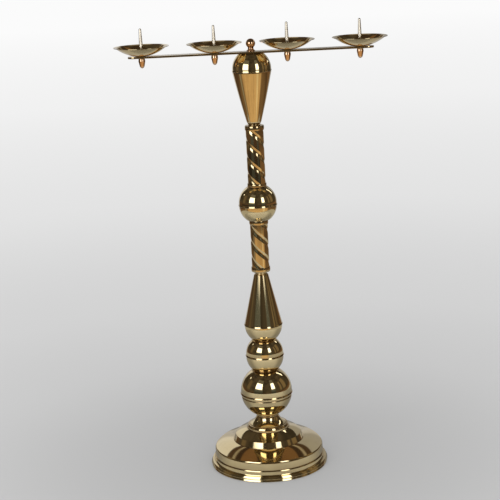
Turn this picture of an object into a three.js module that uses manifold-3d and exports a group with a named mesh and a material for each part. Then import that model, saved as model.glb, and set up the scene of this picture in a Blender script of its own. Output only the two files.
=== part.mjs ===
// A floor candlestick of polished brass, one metre tall.
// Hollow spun balls, cones and base rings are threaded on one tie rod, with two twisted tubes between them.
// A flat crossbar turns on the rod under a ball finial, and carries a row of drip pans with prickets.
// Millimetres, +Z up, origin on the floor under the centre of the base.
import * as THREE from 'three';
import { mergeVertices } from 'three/addons/utils/BufferGeometryUtils.js';
import Module from 'manifold-3d';

const wasm = await Module();
wasm.setup();

// Clearances
const SEAT_GAP = 0.3; // height between a piece and the one that it rests on
const LAP_GAP = 0.3; // radius between two walls that slip over each other
const ROD_CLEARANCE = 0.5; // radius between the tie rod and a hole in the column
const PIVOT_CLEARANCE = 0.3; // radius between the tie rod and the pieces that turn on it
const SHANK_CLEARANCE = 0.3; // radius between a pricket's shank and its holes
const WEIGHT_CLEARANCE = 0.8; // radius between the weight and the rim around it

// Walls and rod
const WALL = 1.2; // spun balls and cones
const BASE_WALL = 1.5; // spun base rings
const PAN_WALL = 1;
const ROD_RADIUS = 4;

// Foot pad, weight and the nut that draws the column together
const PAD_THICKNESS = 2;
const PAD_MARGIN = 1.5; // how far the pad stays inside the weight's edge
const WEIGHT_HEIGHT = 19.9;
const WEIGHT_RECESS = 3; // depth of the middle below the raised edge
const WEIGHT_LAND = 20; // width of the raised edge
const POCKET_MARGIN = 4; // room around the washer for a spanner
const POCKET_ROOM = 0.9; // height of the pocket left below the nut
const WASHER_RADIUS = 12;
const WASHER_THICKNESS = 2;
const NUT_CORNER_RADIUS = 7.5;
const NUT_HEIGHT = 6.5;
const ROD_PAST_NUT = 0.6;

// Rim, the moulded ring that stands around the weight
const RIM_LIFT = 0.8; // the rim hangs this far above the floor
const RIM_WALL_OUT = 2.2; // radii beyond the drum above
const FLANGE_OUT = 8.2;
const TORUS_OUT = 10.2;
const FLANGE_HEIGHT = 4.2;
const FLANGE_GROOVE = 0.8;
const TORUS_RADIUS = 3.6;
const RIM_COVE = 1.2; // height between the torus and the rim's wall
const RIM_SHOULDER = 4; // height of the slope up to the drum
const RIM_LEDGE = 7; // width of the ledge that the drum stands on

// Drum, a low wall that rounds over into a wide plate like a cushion
const DRUM_RADIUS = 122.8;
const DRUM_WALL_HEIGHT = 14.2;
const DRUM_SHOULDER = 9; // radius of the rounding between wall and plate
const DRUM_PLATE_START = 0.67; // how far the plate's outer edge has turned from upright, in radians
const DRUM_PLATE_RISE = 14.2;
const DRUM_LEDGE = 6; // width of the ledge that the step stands on

// Step, a leaning band and a second plate like a cushion
const STEP_FOOT_RADIUS = 80;
const STEP_LEAN = 5.2;
const STEP_BAND_HEIGHT = 13;
const STEP_PLATE_START = 0.7;
const STEP_PLATE_RISE = 12.9;

// Neck ring, whose band leans in and rounds over to a flat top
const RING_RADIUS = 47.3;
const RING_LEAN = 0.4;
const RING_BAND_HEIGHT = 4;
const RING_ROUND_WIDTH = 2.3;
const RING_ROUND_HEIGHT = 4.6;
const RING_PLATE_RISE = 0.6;

// Neck bell: a skirt that flares out to the ring, a steeper flank and a small rim under the ball
const BELL_LEDGE = 3.1; // how far the ring's top stands out around the bell's foot
const BELL_FOOT_HEIGHT = 0.8;
const BELL_SKIRT_WIDTH = 11.9; // how far the flared skirt comes in, up to the steeper flank
const BELL_SKIRT_HEIGHT = 8.6;
const BELL_FLANK_WIDTH = 4.7; // how far the flank comes in, up to the rim
const BELL_FLANK_HEIGHT = 9.2;
const BELL_HOLLOW = 0.5; // how far skirt and flank are hollowed from straight
const BELL_RIM_STEP = 0.3; // how far the rim under the ball stands in from the flank
const BELL_RIM_HEIGHT = 3.5;
const BELL_EDGE = 0.9; // bevel of that rim

// Lapped seams: a rolled bead on the upper wall slips over the rim of the lower one
const BEAD_HEIGHT = 2.8; // straight part of the bead
const BEAD_ROUND = 0.8;
const JOGGLE_HEIGHT = 1.5; // where the wall steps back in above the bead
const LAP_DEPTH = 2; // how far the lower rim goes up inside the bead

// Balls: the belt is the straight part, and the seam's height is taken from the lower half's centre
const LARGE_BALL_POLE = 25.4; // radius of the flat that rests on the bell
const LOW_POLE = 30.4; // of the flats above and below the low collar
const BOWL_POLE = 28; // of the flats above and below the bowl's collar
const MIDDLE_BALL_POLE = 26.1; // of the flat that rests on the lower tube's cup
const LARGE_BALL_RADIUS = 57.8;
const LARGE_BALL_BELT = 3;
const LARGE_BALL_SEAM = -2.4;
const SMALL_BALL_RADIUS = 42.1;
const SMALL_BALL_BELT = 6.5;
const SMALL_BALL_SEAM = 2;
const MIDDLE_BALL_RADIUS = 41.8;
const MIDDLE_BALL_BELT = 5.5;
const MIDDLE_BALL_SEAM = -0.4;

// Solid collars between the hollow pieces
const LOW_COLLAR_RADIUS = 27;
const LOW_COLLAR_WAIST = 25.6;
const LOW_COLLAR_HEIGHT = 2.8;
const BOWL_COLLAR_RADIUS = 22.5;
const BOWL_COLLAR_WAIST = 21.2;
const BOWL_COLLAR_HEIGHT = 3.4;
const CONE_COLLAR_RADIUS = 14;
const CONE_COLLAR_WAIST = 12.8;
const CONE_COLLAR_HEIGHT = 6;
const TOP_COLLAR_RADIUS = 14.2;
const TOP_COLLAR_WAIST = 13;
const TOP_COLLAR_HEIGHT = 3.9;

// Lower bowl and cone
const BOWL_RADIUS = 42.2;
const BOWL_STRAIGHT = 1.2; // above the round part, up to the bead
const LOWER_CONE_MARGIN = 1.8; // the cone's small end is this much wider than its collar
const LOWER_CONE_HEIGHT = 112;

// Twisted tubes and the cups that close their ends
const TUBE_RADIUS = 19.7;
const TUBE_WALL = 1.4; // left under the grooves
const TUBE_LEAD = 110.25; // height of one full turn
const GROOVE_STARTS = 3;
const GROOVE_HEIGHT = 18; // along the tube
const GROOVE_VALLEY = 0.58; // where the deepest line lies, as a share of that height from below
const GROOVE_DEPTH = 1.1;
const LOWER_TUBE_LENGTH = 114.5;
const LOWER_TUBE_TURN = 26; // degrees, turns the grooves about the tube
const UPPER_TUBE_LENGTH = 132;
const UPPER_TUBE_TURN = 14;
const CUP_WALL = 0.8;
const CUP_END = 1.5;
const CUP_ROUND = 1.2;
const TALL_CUP = 10;
const SHORT_CUP = 6.8;
const CUP_MARGIN = 1; // a flat pole is this much wider than a cup that rests on it

// Upper cone and dome
const UPPER_CONE_MARGIN = 0.3; // the cone's small end is this much wider than its collar
const UPPER_CONE_TOE_HEIGHT = 3.7;
const UPPER_CONE_TOE_WIDTH = 1.7;
const HEAD_RADIUS = 42.2;
const UPPER_CONE_HEIGHT = 111.7;
const UPPER_CONE_SWELL = 0.7; // how far the flank bulges from straight
const UPPER_CONE_STRAIGHT = 1.6;
const DOME_STRAIGHT = 1;
const DOME_POLE = 26.4;

// Crossbar and the row of holders on it
const BAR_WIDTH = 30;
const BAR_THICKNESS = 4;
const BAR_END = 29.8; // from the outer holder to the end of the bar
const HOLDER_COUNT = 4;
const HOLDER_PITCH = 156.8;

// Drip pans
const PAN_RADIUS = 60;
const PAN_LIP = 6;
const PAN_LIP_RISE = 1;
const PAN_DEPTH = 18.2;
const PAN_SEAT_MARGIN = 3; // the flat middle is this much wider than the pricket's collar

// Prickets
const SHANK_RADIUS = 3;
const SHANK_BELOW_BAR = 11;
const PRICKET_COLLAR_RADIUS = 8;
const PRICKET_COLLAR_HEIGHT = 2.5;
const SPIKE_RADIUS = 4.4;
const SPIKE_TIP_RADIUS = 1.6;
const SPIKE_HEIGHT = 55.6;
const SPIKE_POINT = 1.4;

// Acorn nuts
const ACORN_RADIUS = 7.5;
const ACORN_ROUND_HEIGHT = 15.5;
const ACORN_STRAIGHT = 2;
const ACORN_COLLAR_STEP = 0.9;
const ACORN_COLLAR_HEIGHT = 3.2;
const THREAD_ROOM = 1; // past the end of a shank or rod in its blind hole

// Finial
const FINIAL_FOOT_RADIUS = 9.7;
const FINIAL_FOOT_HEIGHT = 1.4;
const FINIAL_COVE_HEIGHT = 5;
const FINIAL_COVE = 0.7;
const FINIAL_NECK_RADIUS = 6;
const FINIAL_BALL_RADIUS = 10.3;
const FINIAL_HEIGHT = 26.8;
const FINIAL_THREAD = 15.5; // length of rod inside the finial

// Facets around the round pieces, and the turn from one facet to the next along an arc
const BASE_FACETS = 24;
const COLUMN_FACETS = 18;
const PAN_FACETS = 16;
const SMALL_FACETS = 12;
const HOLE_FACETS = 8;
const ARC_STEP = Math.PI / 12;
const COARSE = 0.5; // share of an arc's points that the inside of a wall and the small pieces get
const COARSEST = 0.3; // the same for the smallest beads

const HOLE = ROD_RADIUS + ROD_CLEARANCE;
const PIVOT_HOLE = ROD_RADIUS + PIVOT_CLEARANCE;
const SHANK_HOLE = SHANK_RADIUS + SHANK_CLEARANCE;
const CUP_BORE = (TUBE_RADIUS + LAP_GAP) / Math.cos(Math.PI / COLUMN_FACETS); // its flats clear the tube
const CUP_RADIUS = CUP_BORE + CUP_WALL;

const finishes = {
  brass: { color: 0xd0ad62, roughness: 0.12, metalness: 1 },
  redBrass: { color: 0xc98a58, roughness: 0.16, metalness: 1 },
  steel: { color: 0x8f9194, roughness: 0.35, metalness: 1 },
  iron: { color: 0x3a3b3d, roughness: 0.8, metalness: 0.6 },
  felt: { color: 0x2d4a33, roughness: 1, metalness: 0 },
};

function piece(name, geometry, finish, height) {
  const mesh = new THREE.Mesh(geometry, new THREE.MeshStandardMaterial(finishes[finish]));
  mesh.name = name;
  mesh.position.z = height;
  return mesh;
}

// Outlines. A point is [radius, height], and a path runs up the outside from the lower end.

// Angles in radians, from straight out towards up. Less detail gives fewer points.
function arc(centreHeight, radius, from, to, detail = 1, centreRadius = 0) {
  const steps = Math.max(1, Math.round((Math.abs(to - from) * detail) / ARC_STEP));
  const points = [];
  for (let i = 0; i <= steps; i += 1) {
    const angle = from + ((to - from) * i) / steps;
    points.push([centreRadius + radius * Math.cos(angle), centreHeight + radius * Math.sin(angle)]);
  }
  return points;
}

// A line between two points that bulges outwards in the middle, or inwards if the bulge is negative.
function swell([fromR, fromZ], [toR, toZ], bulge, steps) {
  const length = Math.hypot(toR - fromR, toZ - fromZ);
  const points = [];
  for (let i = 0; i <= steps; i += 1) {
    const share = i / steps;
    const out = (4 * bulge * share * (1 - share)) / length;
    points.push([
      fromR + (toR - fromR) * share + (toZ - fromZ) * out,
      fromZ + (toZ - fromZ) * share - (toR - fromR) * out,
    ]);
  }
  return points;
}

// A plate like a cushion. It leaves its outer edge at an angle from upright, and ends level after this rise.
function cushion([edgeR, edgeZ], start, rise, detail) {
  const radius = rise / (1 - Math.sin(start));
  return arc(edgeZ + rise - radius, radius, start, Math.PI / 2, detail, edgeR - radius * Math.cos(start));
}

// The inside of a spun wall. Every stretch of the path moves in by the wall, the corners stay sharp,
// and the two rims are cut level or upright.
function inset(path, wall) {
  const normals = path.slice(1).map(([r, z], i) => {
    const length = Math.hypot(r - path[i][0], z - path[i][1]);
    return [(z - path[i][1]) / length, (path[i][0] - r) / length];
  });
  return path.map(([r, z], i) => {
    const before = normals[Math.max(i - 1, 0)];
    const after = normals[Math.min(i, normals.length - 1)];
    if (before === after) {
      const upright = Math.abs(after[0]) > Math.abs(after[1]);
      return upright ? [r - wall / after[0], z] : [r, z - wall / after[1]];
    }
    const sum = [before[0] + after[0], before[1] + after[1]];
    const reach = (2 * wall) / (sum[0] ** 2 + sum[1] ** 2);
    return [r - sum[0] * reach, z - sum[1] * reach];
  });
}

// The part of a path below or above a height, with a new point where it is cut.
function cutPath(path, height, keepBelow) {
  const kept = (z) => (keepBelow ? z < height : z > height);
  const points = [];
  path.forEach(([r, z], i) => {
    const [lastR, lastZ] = path[Math.max(i - 1, 0)];
    if (kept(z) !== kept(lastZ)) {
      points.push([lastR + ((r - lastR) * (height - lastZ)) / (z - lastZ), height]);
    }
    if (kept(z)) points.push([r, z]);
  });
  return points;
}

// Solids of revolution

function signedArea(outline) {
  return outline.reduce((area, [r, z], i) => {
    const [nextR, nextZ] = outline[(i + 1) % outline.length];
    return area + (r * nextZ - nextR * z) / 2;
  }, 0);
}

// Turns a closed outline about the Z axis. One that reaches the axis starts and ends there.
function turned(outline, facets) {
  const ordered = signedArea(outline) > 0 ? [...outline] : [...outline].reverse();
  const reachesAxis = ordered.filter(([r]) => r === 0).length > 1;
  while (reachesAxis && !(ordered[0][0] === 0 && ordered.at(-1)[0] === 0)) ordered.push(ordered.shift());
  const profile = reachesAxis ? ordered : [...ordered, ordered[0]];
  return new THREE.LatheGeometry(profile.map(([r, z]) => new THREE.Vector2(r, z)), facets)
    .rotateX(Math.PI / 2);
}

// A spun shell. Its path is asked for with all its points for the outside, and with half for the inside.
function spun(path, wall, facets) {
  return turned([...path(1), ...inset(path(COARSE), wall).reverse()], facets);
}

// A solid collar with a hollowed waist, bored for the rod.
function collar(radius, waist, height) {
  return turned([
    [HOLE, 0],
    [radius, 0],
    [waist, height / 2],
    [radius, height],
    [HOLE, height],
  ], COLUMN_FACETS);
}

// The rolled bead over a lower wall of this radius, up to where it starts to step back in.
function bead(lowerRadius, detail) {
  const radius = lowerRadius + LAP_GAP + WALL;
  const foot = detail < 1 ? [[radius, 0]] : [[radius - BEAD_ROUND, 0], [radius, BEAD_ROUND]];
  return [...foot, [radius, BEAD_HEIGHT]];
}

// The two spun halves of a ball with flat poles, its height, and how high the upper half's bead starts.
function ball(radius, poleBelow, poleAbove, belt, seamRise) {
  const lowCentre = Math.sqrt(radius ** 2 - poleBelow ** 2);
  const highCentre = lowCentre + belt;
  const height = highCentre + Math.sqrt(radius ** 2 - poleAbove ** 2);
  const seam = lowCentre + seamRise;
  const meridian = (detail) => [
    [HOLE, 0],
    ...arc(lowCentre, radius, -Math.acos(poleBelow / radius), 0, detail),
    ...arc(highCentre, radius, 0, Math.acos(poleAbove / radius), detail),
    [HOLE, height],
  ];
  const lower = (detail) => cutPath(meridian(detail), seam + LAP_DEPTH, true);
  const upper = (detail) => [
    ...bead(radius, detail),
    ...cutPath(meridian(detail), seam + BEAD_HEIGHT + JOGGLE_HEIGHT, false).map(([r, z]) => [r, z - seam]),
  ];
  return {
    lower: spun(lower, WALL, COLUMN_FACETS),
    upper: spun(upper, WALL, COLUMN_FACETS),
    seam,
    height,
  };
}

// Extruded pieces

function roundHole(x, radius) {
  return new THREE.Path(new THREE.Path().absarc(x, 0, radius, 0, 2 * Math.PI, true).getPoints(HOLE_FACETS));
}

function extruded(shape, height, steps = 1) {
  return new THREE.ExtrudeGeometry(shape, {
    depth: height,
    steps,
    bevelEnabled: false,
    curveSegments: SMALL_FACETS,
  });
}

// Joins and cuts

function solidFrom(geometry) {
  geometry.deleteAttribute('normal');
  geometry.deleteAttribute('uv');
  const merged = mergeVertices(geometry, 1e-4);
  return new wasm.Manifold(new wasm.Mesh({
    numProp: 3,
    vertProperties: merged.attributes.position.array,
    triVerts: new Uint32Array(merged.index.array),
  }));
}

function geometryFrom(solid) {
  const { vertProperties, triVerts } = solid.getMesh();
  const geometry = new THREE.BufferGeometry();
  geometry.setAttribute('position', new THREE.BufferAttribute(vertProperties, 3));
  geometry.setIndex(new THREE.BufferAttribute(triVerts, 1));
  return geometry;
}

// Twisted tubes

// The section: round lands between shallow grooves, each as wide as its height's share of a full turn.
// A groove is steeper on its upper side, so its deepest line is nearer to that side.
function tubeSection() {
  const pitch = (2 * Math.PI) / GROOVE_STARTS;
  const grooveWidth = (2 * Math.PI * GROOVE_HEIGHT) / TUBE_LEAD;
  const grooveShares = [0, GROOVE_VALLEY / 2, GROOVE_VALLEY, (1 + GROOVE_VALLEY) / 2];
  const landSteps = 3;
  const points = [];
  const add = (angle, depth) => {
    const radius = TUBE_RADIUS - depth;
    points.push(new THREE.Vector2(radius * Math.cos(angle), radius * Math.sin(angle)));
  };
  for (let start = 0; start < GROOVE_STARTS; start += 1) {
    grooveShares.forEach((share, i) => {
      const depth = GROOVE_DEPTH * Math.sin((Math.PI * i) / grooveShares.length) ** 2;
      add(start * pitch + grooveWidth * share, depth);
    });
    for (let i = 0; i < landSteps; i += 1) {
      add(start * pitch + grooveWidth + ((pitch - grooveWidth) * i) / landSteps, 0);
    }
  }
  return new THREE.Shape(points);
}

// The section is extruded, and every level is turned to the left as far as its height's share of the lead.
function twistedTube(length, turn) {
  const levelHeight = 6.2;
  const rod = extruded(tubeSection(), length, Math.round(length / levelHeight));
  const position = rod.getAttribute('position');
  const axis = new THREE.Vector3(0, 0, 1);
  const point = new THREE.Vector3();
  for (let i = 0; i < position.count; i += 1) {
    point.fromBufferAttribute(position, i);
    const angle = THREE.MathUtils.degToRad(turn) - (2 * Math.PI * point.z) / TUBE_LEAD;
    point.applyAxisAngle(axis, angle);
    position.setXYZ(i, point.x, point.y, point.z);
  }
  const past = 1;
  const boreRadius = TUBE_RADIUS - GROOVE_DEPTH - TUBE_WALL;
  const bore = new THREE.CylinderGeometry(boreRadius, boreRadius, length + 2 * past, COLUMN_FACETS)
    .rotateX(Math.PI / 2)
    .translate(0, 0, length / 2);
  return geometryFrom(solidFrom(rod).subtract(solidFrom(bore)));
}

// A cup that opens upwards and takes the end of a tube.
function cup(height) {
  return turned([
    [HOLE, 0],
    [CUP_RADIUS - CUP_ROUND, 0],
    [CUP_RADIUS, CUP_ROUND],
    [CUP_RADIUS, height],
    [CUP_BORE, height],
    [CUP_BORE, CUP_END],
    [HOLE, CUP_END],
  ], COLUMN_FACETS);
}

// The column, stacked from the floor up

const column = new THREE.Group();
let level = 0;

function stack(name, geometry, height, finish = 'brass') {
  column.add(piece(name, geometry, finish, level));
  level += height + SEAT_GAP;
}

function stackBall(name, { lower, upper, seam, height }) {
  column.add(piece(`${name}_lower`, lower, 'brass', level));
  column.add(piece(`${name}_upper`, upper, 'brass', level + seam));
  level += height + SEAT_GAP;
}

function stackTube(name, length, turn, lowerCup, upperCup) {
  const height = 2 * (CUP_END + SEAT_GAP) + length;
  column.add(piece(`${name}_lower_cup`, cup(lowerCup), 'brass', level));
  column.add(piece(name, twistedTube(length, turn), 'brass', level + CUP_END + SEAT_GAP));
  column.add(piece(`${name}_upper_cup`, cup(upperCup).rotateX(Math.PI), 'brass', level + height));
  level += height + SEAT_GAP;
}

// Foot pad and weight, with the washer and nut in the weight's pocket
const rimBore = DRUM_RADIUS - BASE_WALL;
const weightRadius = rimBore - WEIGHT_CLEARANCE;
const pocketRadius = WASHER_RADIUS + POCKET_MARGIN;
const pocketDepth = SEAT_GAP + WASHER_THICKNESS + SEAT_GAP + NUT_HEIGHT + POCKET_ROOM;
const weightMiddle = WEIGHT_HEIGHT - WEIGHT_RECESS;

stack('foot_pad', turned([
  [pocketRadius, 0],
  [weightRadius - PAD_MARGIN, 0],
  [weightRadius - PAD_MARGIN, PAD_THICKNESS],
  [pocketRadius, PAD_THICKNESS],
], BASE_FACETS), PAD_THICKNESS, 'felt');

const washerFoot = level + pocketDepth - SEAT_GAP - WASHER_THICKNESS;
const nutFoot = washerFoot - SEAT_GAP - NUT_HEIGHT;
const rodFoot = nutFoot - ROD_PAST_NUT;

stack('base_weight', turned([
  [HOLE, pocketDepth],
  [pocketRadius, pocketDepth],
  [pocketRadius, 0],
  [weightRadius, 0],
  [weightRadius, WEIGHT_HEIGHT],
  [weightRadius - WEIGHT_LAND, WEIGHT_HEIGHT],
  [weightRadius - WEIGHT_LAND, weightMiddle],
  [HOLE, weightMiddle],
], BASE_FACETS), WEIGHT_HEIGHT, 'iron');

column.add(piece('base_washer', turned([
  [HOLE, 0],
  [WASHER_RADIUS, 0],
  [WASHER_RADIUS, WASHER_THICKNESS],
  [HOLE, WASHER_THICKNESS],
], SMALL_FACETS), 'steel', washerFoot));

const hexagon = new THREE.Shape(Array.from({ length: 6 }, (_, i) => (
  new THREE.Vector2(NUT_CORNER_RADIUS, 0).rotateAround(new THREE.Vector2(), (i * Math.PI) / 3)
)));
hexagon.holes.push(roundHole(0, PIVOT_HOLE));
column.add(piece('base_nut', extruded(hexagon, NUT_HEIGHT), 'steel', nutFoot));

// Base rings. The weight bears on the underside of the rim's ledge, and the drum stands on top of it.
const ledgeTop = level + BASE_WALL;
const rimWall = DRUM_RADIUS + RIM_WALL_OUT;
const torusCentre = RIM_LIFT + FLANGE_HEIGHT + FLANGE_GROOVE + TORUS_RADIUS;
const torusMiddle = DRUM_RADIUS + TORUS_OUT - TORUS_RADIUS;
column.add(piece('base_rim', turned([
  [rimBore, RIM_LIFT],
  [DRUM_RADIUS + FLANGE_OUT, RIM_LIFT],
  [DRUM_RADIUS + FLANGE_OUT, RIM_LIFT + FLANGE_HEIGHT],
  ...arc(torusCentre, TORUS_RADIUS, -Math.PI / 2, Math.PI / 2, COARSEST, torusMiddle),
  [rimWall, torusCentre + TORUS_RADIUS + RIM_COVE],
  [rimWall, ledgeTop - RIM_SHOULDER],
  [DRUM_RADIUS, ledgeTop],
  [DRUM_RADIUS - RIM_LEDGE, ledgeTop],
  [DRUM_RADIUS - RIM_LEDGE, ledgeTop - BASE_WALL],
  [rimBore, ledgeTop - BASE_WALL],
], BASE_FACETS), 'brass', 0));
level = ledgeTop + SEAT_GAP;

const shoulderAxis = DRUM_RADIUS - DRUM_SHOULDER;
const shoulder = (detail) => arc(DRUM_WALL_HEIGHT, DRUM_SHOULDER, 0, DRUM_PLATE_START, detail, shoulderAxis);
const plateEdge = shoulder(1).at(-1);
const drumHeight = plateEdge[1] + DRUM_PLATE_RISE;
stack('base_drum', spun((detail) => [
  [DRUM_RADIUS, 0],
  ...shoulder(detail).slice(0, -1),
  ...cushion(plateEdge, DRUM_PLATE_START, DRUM_PLATE_RISE, detail),
  [STEP_FOOT_RADIUS - DRUM_LEDGE, drumHeight],
], BASE_WALL, BASE_FACETS), drumHeight);

const bandTop = [STEP_FOOT_RADIUS - STEP_LEAN, STEP_BAND_HEIGHT];
const stepHeight = STEP_BAND_HEIGHT + STEP_PLATE_RISE;
stack('base_step', spun((detail) => [
  [STEP_FOOT_RADIUS, 0],
  ...cushion(bandTop, STEP_PLATE_START, STEP_PLATE_RISE, detail),
  [HOLE, stepHeight],
], BASE_WALL, BASE_FACETS), stepHeight);

const ringRound = RING_RADIUS - RING_LEAN;
const ringShoulder = RING_BAND_HEIGHT + RING_ROUND_HEIGHT;
const ringHeight = ringShoulder + RING_PLATE_RISE;
const ringShoulderRadius = ringRound - RING_ROUND_WIDTH;
const bellRadius = ringShoulderRadius - BELL_LEDGE;
stack('neck_ring', spun(() => [
  [RING_RADIUS, 0],
  [ringRound, RING_BAND_HEIGHT],
  [ringShoulderRadius, ringShoulder],
  [bellRadius, ringHeight],
  [HOLE, ringHeight],
], WALL, COLUMN_FACETS), ringHeight);

const skirtTop = BELL_FOOT_HEIGHT + BELL_SKIRT_HEIGHT;
const flankTop = skirtTop + BELL_FLANK_HEIGHT;
const bellHeight = flankTop + BELL_RIM_HEIGHT;
const bendRadius = bellRadius - BELL_SKIRT_WIDTH;
const waistRadius = bendRadius - BELL_FLANK_WIDTH;
const rimRadius = waistRadius - BELL_RIM_STEP;
stack('neck_bell', spun((detail) => [
  [bellRadius, 0],
  ...swell([bellRadius, BELL_FOOT_HEIGHT], [bendRadius, skirtTop], -BELL_HOLLOW, 4 * detail),
  ...swell([bendRadius, skirtTop], [waistRadius, flankTop], -BELL_HOLLOW, 4 * detail).slice(1),
  ...(detail < 1 ? [[rimRadius, bellHeight]] : [
    [rimRadius, bellHeight - BELL_EDGE],
    [rimRadius - BELL_EDGE, bellHeight],
  ]),
  [HOLE, bellHeight],
], WALL, COLUMN_FACETS), bellHeight);

// Balls and bowl, with the solid collars between them
stackBall('large_ball', ball(
  LARGE_BALL_RADIUS,
  LARGE_BALL_POLE,
  LOW_POLE,
  LARGE_BALL_BELT,
  LARGE_BALL_SEAM,
));
stack('low_collar', collar(LOW_COLLAR_RADIUS, LOW_COLLAR_WAIST, LOW_COLLAR_HEIGHT), LOW_COLLAR_HEIGHT);
stackBall('small_ball', ball(
  SMALL_BALL_RADIUS,
  LOW_POLE,
  BOWL_POLE,
  SMALL_BALL_BELT,
  SMALL_BALL_SEAM,
));
stack('bowl_collar', collar(BOWL_COLLAR_RADIUS, BOWL_COLLAR_WAIST, BOWL_COLLAR_HEIGHT), BOWL_COLLAR_HEIGHT);

const bowlCentre = Math.sqrt(BOWL_RADIUS ** 2 - BOWL_POLE ** 2);
const bowlSeam = bowlCentre + BOWL_STRAIGHT;
column.add(piece('lower_bowl', spun((detail) => [
  [HOLE, 0],
  ...arc(bowlCentre, BOWL_RADIUS, -Math.acos(BOWL_POLE / BOWL_RADIUS), 0, detail),
  [BOWL_RADIUS, bowlSeam + LAP_DEPTH],
], WALL, COLUMN_FACETS), 'brass', level));
level += bowlSeam;

const coneFoot = BEAD_HEIGHT + JOGGLE_HEIGHT;
const lowerConeTop = coneFoot + LOWER_CONE_HEIGHT;
stack('lower_cone', spun((detail) => [
  ...bead(BOWL_RADIUS, detail),
  [BOWL_RADIUS, coneFoot],
  [CONE_COLLAR_RADIUS + LOWER_CONE_MARGIN, lowerConeTop],
  [HOLE, lowerConeTop],
], WALL, COLUMN_FACETS), lowerConeTop);
stack('cone_collar', collar(CONE_COLLAR_RADIUS, CONE_COLLAR_WAIST, CONE_COLLAR_HEIGHT), CONE_COLLAR_HEIGHT);

// Twisted tubes, with the middle ball between them
stackTube('lower_tube', LOWER_TUBE_LENGTH, LOWER_TUBE_TURN, TALL_CUP, TALL_CUP);
stackBall('middle_ball', ball(
  MIDDLE_BALL_RADIUS,
  MIDDLE_BALL_POLE,
  CUP_RADIUS + CUP_MARGIN,
  MIDDLE_BALL_BELT,
  MIDDLE_BALL_SEAM,
));
stackTube('upper_tube', UPPER_TUBE_LENGTH, UPPER_TUBE_TURN, SHORT_CUP, TALL_CUP);
stack('top_collar', collar(TOP_COLLAR_RADIUS, TOP_COLLAR_WAIST, TOP_COLLAR_HEIGHT), TOP_COLLAR_HEIGHT);

// Upper cone and dome
const upperConeFoot = TOP_COLLAR_RADIUS + UPPER_CONE_MARGIN;
const headSeam = UPPER_CONE_HEIGHT + UPPER_CONE_STRAIGHT;
column.add(piece('upper_cone', spun((detail) => [
  [HOLE, 0],
  [upperConeFoot, 0],
  ...swell(
    [upperConeFoot + UPPER_CONE_TOE_WIDTH, UPPER_CONE_TOE_HEIGHT],
    [HEAD_RADIUS, UPPER_CONE_HEIGHT],
    UPPER_CONE_SWELL,
    4 * detail,
  ),
  [HEAD_RADIUS, headSeam + LAP_DEPTH],
], WALL, COLUMN_FACETS), 'brass', level));
level += headSeam;

const domeCentre = coneFoot + DOME_STRAIGHT;
const domeTop = domeCentre + Math.sqrt(HEAD_RADIUS ** 2 - DOME_POLE ** 2);
stack('dome', spun((detail) => [
  ...bead(HEAD_RADIUS, detail),
  [HEAD_RADIUS, coneFoot],
  ...arc(domeCentre, HEAD_RADIUS, 0, Math.acos(DOME_POLE / HEAD_RADIUS), detail),
  [HOLE, domeTop],
], WALL, COLUMN_FACETS), domeTop);

// The crossbar and what it carries. Heights are from the underside of the bar.

function crossbar(places) {
  const end = places.at(-1) + BAR_END - BAR_WIDTH / 2;
  const shape = new THREE.Shape()
    .absarc(end, 0, BAR_WIDTH / 2, -Math.PI / 2, Math.PI / 2)
    .absarc(-end, 0, BAR_WIDTH / 2, Math.PI / 2, (3 * Math.PI) / 2);
  shape.holes.push(roundHole(0, PIVOT_HOLE), ...places.map((x) => roundHole(x, SHANK_HOLE)));
  return extruded(shape, BAR_THICKNESS);
}

// A shallow dish on a flat middle, with an out-turned lip. The round part's centre lies on the axis above.
const panSeat = PRICKET_COLLAR_RADIUS + PAN_SEAT_MARGIN;
const dishEdge = PAN_RADIUS - PAN_LIP;
const dishCentre = (dishEdge ** 2 - panSeat ** 2 + PAN_DEPTH ** 2) / (2 * PAN_DEPTH);
const dishRadius = Math.hypot(panSeat, dishCentre);
const dishStart = -Math.acos(panSeat / dishRadius);
const dishEnd = -Math.acos(dishEdge / dishRadius);
const pan = spun((detail) => [
  [SHANK_HOLE, 0],
  ...arc(dishCentre, dishRadius, dishStart, dishEnd, 2 * detail),
  [PAN_RADIUS, PAN_DEPTH + PAN_LIP_RISE],
], PAN_WALL, PAN_FACETS);

// Heights from the underside of the pricket's collar, which clamps the pan to the bar.
const panFoot = BAR_THICKNESS + SEAT_GAP;
const pricketFoot = panFoot + PAN_WALL + SEAT_GAP;
const spikeTop = PRICKET_COLLAR_HEIGHT + SPIKE_HEIGHT;
const pricket = turned([
  [0, -pricketFoot - SHANK_BELOW_BAR],
  [SHANK_RADIUS, -pricketFoot - SHANK_BELOW_BAR],
  [SHANK_RADIUS, 0],
  [PRICKET_COLLAR_RADIUS, 0],
  [PRICKET_COLLAR_RADIUS, PRICKET_COLLAR_HEIGHT],
  [SPIKE_RADIUS, PRICKET_COLLAR_HEIGHT],
  [SPIKE_TIP_RADIUS, spikeTop - SPIKE_POINT],
  [0, spikeTop],
], SMALL_FACETS);

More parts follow.
